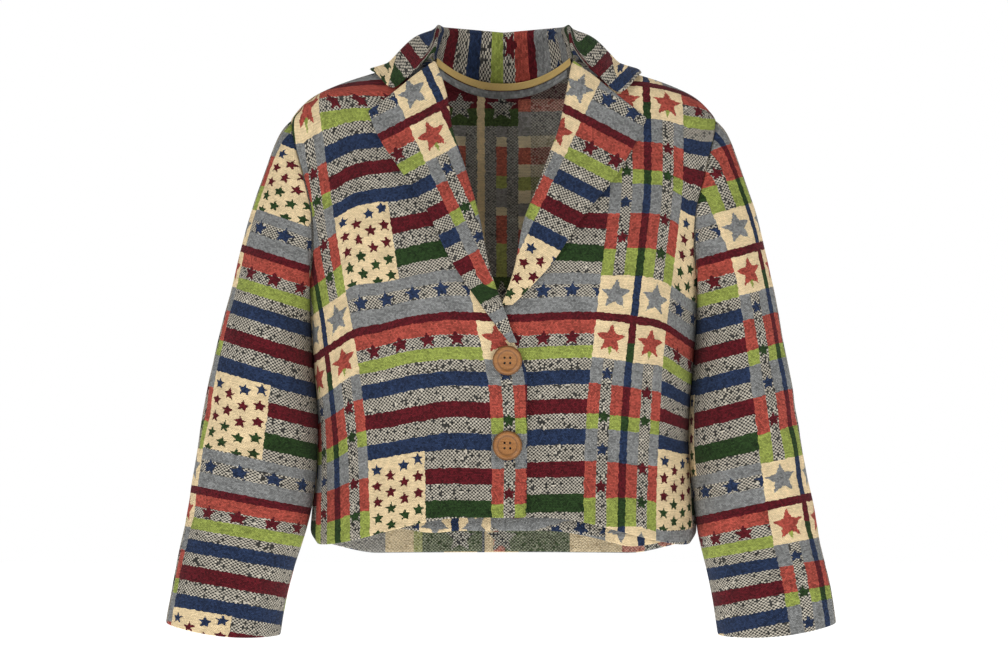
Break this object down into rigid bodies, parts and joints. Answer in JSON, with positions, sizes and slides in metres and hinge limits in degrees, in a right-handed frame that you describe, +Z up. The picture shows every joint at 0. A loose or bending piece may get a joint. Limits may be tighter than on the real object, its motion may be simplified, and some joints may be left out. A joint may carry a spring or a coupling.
{
  "type": "cropped jacket",
  "caption": "Boxy cropped jacket in patchwork-woven cotton with a notched collar, lapels, a buttoned front and long set-in sleeves, hollow and shaped as if worn",
  "frame": {"origin": "the middle of the neck opening, at the height of the back neck seam, where the wearer's neck and shoulders hold the jacket", "axes": "+X towards the wearer's left, +Y towards the back, +Z up; the front faces -Y"},
  "size_m": [0.7092, 0.2401, 0.6493],
  "materials": {
    "patchwork_cloth": "soft ribbed cotton weave, low sheen, patchwork of oat, claret, clay, moss, lime, slate and denim blue",
    "mustard_tape": "plain mustard cotton bias tape",
    "horn": "tan horn effect with a darker rim, satin"
  },
  "bodies": {
    "root": {"front_right": "patchwork_cloth", "front_left": "patchwork_cloth", "back": "patchwork_cloth", "sleeve_right": "patchwork_cloth", "sleeve_left": "patchwork_cloth", "lapel_right": "patchwork_cloth", "lapel_left": "patchwork_cloth", "collar": "patchwork_cloth", "hem_turn": "patchwork_cloth", "neck_binding": "mustard_tape", "neck_seam_allowance": "patchwork_cloth", "button_top": "horn", "button_bottom": "horn"}
  },
  "joints": []
}
